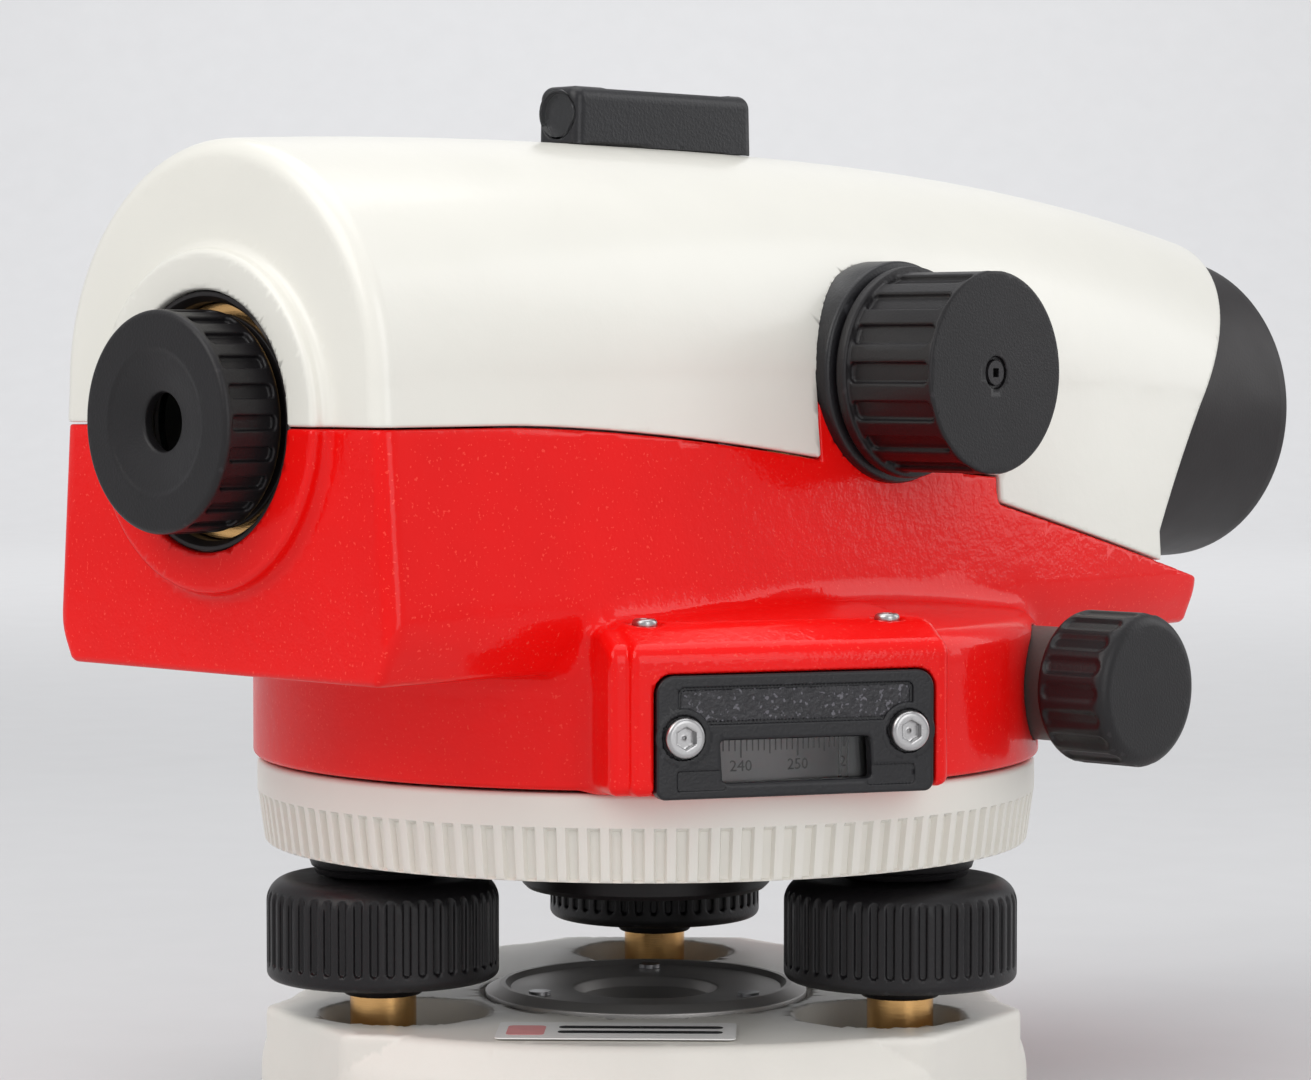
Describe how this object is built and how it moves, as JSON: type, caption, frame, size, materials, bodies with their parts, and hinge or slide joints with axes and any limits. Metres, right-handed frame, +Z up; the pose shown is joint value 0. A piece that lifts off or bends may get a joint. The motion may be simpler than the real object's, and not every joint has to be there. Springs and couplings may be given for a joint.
{
  "type": "automatic optical level",
  "caption": "Automatic optical level: white and red telescope body with eyepiece, focus knob and endless drive knobs, turning on a graduated circle over a three-footscrew levelling base.",
  "frame": {"origin": "on the vertical axis, at the underside of the base plate (mouth of the tripod thread)", "axes": "+X along the line of sight from the eyepiece towards the objective, +Y away from the focus knob, +Z up"},
  "size_m": [0.1909, 0.12, 0.1316],
  "materials": {
    "white_enamel": "satin enamel",
    "red_enamel": "gloss enamel with fine orange peel",
    "base_enamel": "satin enamel over a casting",
    "ring_plastic": "satin moulded plastic",
    "knob_plastic": "satin moulded plastic",
    "black_plastic": "fine grained plastic",
    "black_metal": "matt black",
    "steel": "turned steel",
    "bright_steel": "bright steel",
    "brass": "turned brass",
    "aluminium": "machined",
    "optical_glass": "coated glass",
    "level_glass": "tinted vial",
    "scale_plastic": "matt scale",
    "mirror": "mirror"
  },
  "bodies": {
    "base": {"base_plate": "base_enamel", "thread_insert": "steel", "insert_screws": "steel", "foot_seats": "steel", "foot_retainers": "black_metal", "foot_balls_fixed": "bright_steel"},
    "rear_ball": {"foot_ball_3": "bright_steel"},
    "head": {"levelling_head": "black_metal", "dust_caps": "knob_plastic", "footscrew_bushes": "brass", "spindle": "steel", "spindle_nut": "brass", "foot_3": "brass"},
    "left_foot": {"foot_1": "brass"},
    "right_foot": {"foot_2": "brass"},
    "left_footscrew": {"footscrew_knob_1": "knob_plastic"},
    "right_footscrew": {"footscrew_knob_2": "knob_plastic"},
    "rear_footscrew": {"footscrew_knob_3": "knob_plastic"},
    "circle": {"circle_ring": "ring_plastic", "graduated_circle": "scale_plastic"},
    "wheel": {"worm_wheel": "brass"},
    "drive": {"drive_shaft": "steel", "drive_knobs": "knob_plastic"},
    "focus": {"focus_shaft": "steel", "focus_knob": "knob_plastic", "focus_knob_plug": "knob_plastic"},
    "focus_slide": {"focusing_slide": "brass", "focusing_lens": "optical_glass"},
    "pendulum_body": {"pendulum": "aluminium", "pendulum_prism": "optical_glass"},
    "eyepiece": {"eyepiece_knob": "knob_plastic"},
    "eyepiece_optics": {"eyepiece_cell": "black_metal", "eyepiece_lenses": "optical_glass"},
    "alidade": {"bearing_sleeve": "brass", "circular_level": "level_glass", "compensator_frame": "aluminium", "cover_screws": "steel", "damper_magnets": "steel", "drive_bushes": "black_metal", "eyepiece_tube": "brass", "fixed_prisms": "optical_glass", "focus_bush": "brass", "ledge_screws": "bright_steel", "level_adjusting_screws": "steel", "level_housing": "black_plastic", "level_mirror": "mirror", "level_mirror_arm": "black_plastic", "lower_housing": "red_enamel", "objective_barrel": "black_metal", "objective_lenses": "optical_glass", "optical_sight": "black_plastic", "pendulum_tapes": "bright_steel", "reticle": "optical_glass", "reticle_mount": "black_metal", "sight_lens": "optical_glass", "telescope_tube": "aluminium", "upper_cover": "white_enamel", "window_glass": "optical_glass", "window_plate": "black_plastic", "window_screws": "bright_steel"}
  },
  "joints": [
    {"name": "tilt_about_left_feet", "type": "hinge", "parent": "base", "child": "rear_ball", "pos_m": [0.02741, 0.0253, 0.006], "axis": [-0.9755, -0.2198, 0], "range_deg": [-2.5, 2.5]},
    {"name": "tilt_about_right_feet", "type": "hinge", "parent": "rear_ball", "child": "head", "pos_m": [0.02741, 0.0253, 0.006], "axis": [0.2974, 0.9548, 0], "range_deg": [-2.5, 2.5]},
    {"name": "right_foot_travel", "type": "slide", "parent": "head", "child": "right_foot", "axis": [0, 0, -1], "range_m": [-0.00249, 0.00249]},
    {"name": "right_footscrew_turn", "type": "hinge", "parent": "head", "child": "right_footscrew", "pos_m": [0.0082, -0.03639, 0.026], "axis": [0, 0, 1], "range_deg": [-896.4, 896.4]},
    {"name": "left_foot_travel", "type": "slide", "parent": "head", "child": "left_foot", "axis": [0, 0, -1], "range_m": [-0.00249, 0.00249]},
    {"name": "left_footscrew_turn", "type": "hinge", "parent": "head", "child": "left_footscrew", "pos_m": [-0.03561, 0.01109, 0.026], "axis": [0, 0, 1], "range_deg": [-896.4, 896.4]},
    {"name": "rear_footscrew_turn", "type": "hinge", "parent": "head", "child": "rear_footscrew", "pos_m": [0.02741, 0.0253, 0.026], "axis": [0, 0, 1], "range_deg": [-896.4, 896.4]},
    {"name": "circle_turn", "type": "hinge", "parent": "head", "child": "circle", "pos_m": [0, 0, 0.041], "axis": [0, 0, 1], "continuous": true},
    {"name": "alidade_turn", "type": "hinge", "parent": "head", "child": "alidade", "pos_m": [0, 0, 0.065], "axis": [0, 0, 1], "continuous": true},
    {"name": "drive_turn", "type": "hinge", "parent": "alidade", "child": "drive", "pos_m": [0.028, 0, 0.0564], "axis": [0, 1, 0], "continuous": true},
    {"name": "wheel_turn", "type": "hinge", "parent": "alidade", "child": "wheel", "pos_m": [0, 0, 0.0564], "axis": [0, 0, 1], "continuous": true},
    {"name": "focus_turn", "type": "hinge", "parent": "alidade", "child": "focus", "pos_m": [0.0147, -0.04, 0.0957], "axis": [0, 1, 0], "range_deg": [-91.8, 183.6]},
    {"name": "focus_travel", "type": "slide", "parent": "alidade", "child": "focus_slide", "axis": [-1, 0, 0], "range_m": [-0.00942, 0.00471]},
    {"name": "eyepiece_turn", "type": "hinge", "parent": "alidade", "child": "eyepiece", "pos_m": [-0.076, 0, 0.0902], "axis": [-1, 0, 0], "range_deg": [-150, 150]},
    {"name": "eyepiece_travel", "type": "slide", "parent": "alidade", "child": "eyepiece_optics", "axis": [-1, 0, 0], "range_m": [-0.00255, 0.00255]},
    {"name": "compensator_swing", "type": "hinge", "parent": "alidade", "child": "pendulum_body", "pos_m": [-0.027, 0, 0.107], "axis": [0, 1, 0], "range_deg": [-0.5, 0.5]}
  ],
  "couplings": [
    {"joint": "right_foot_travel", "follows": "tilt_about_left_feet", "m_per_rad": 0.05595},
    {"joint": "right_footscrew_turn", "follows": "tilt_about_left_feet", "ratio": 351.54},
    {"joint": "left_foot_travel", "follows": "tilt_about_right_feet", "m_per_rad": 0.05595},
    {"joint": "left_footscrew_turn", "follows": "tilt_about_right_feet", "ratio": 351.54},
    {"joint": "wheel_turn", "follows": "drive_turn", "ratio": -0.013889},
    {"joint": "focus_turn", "follows": "focus_travel", "rad_per_m": -333.33},
    {"joint": "eyepiece_travel", "follows": "eyepiece_turn", "m_per_rad": 0.00095493}
  ]
}
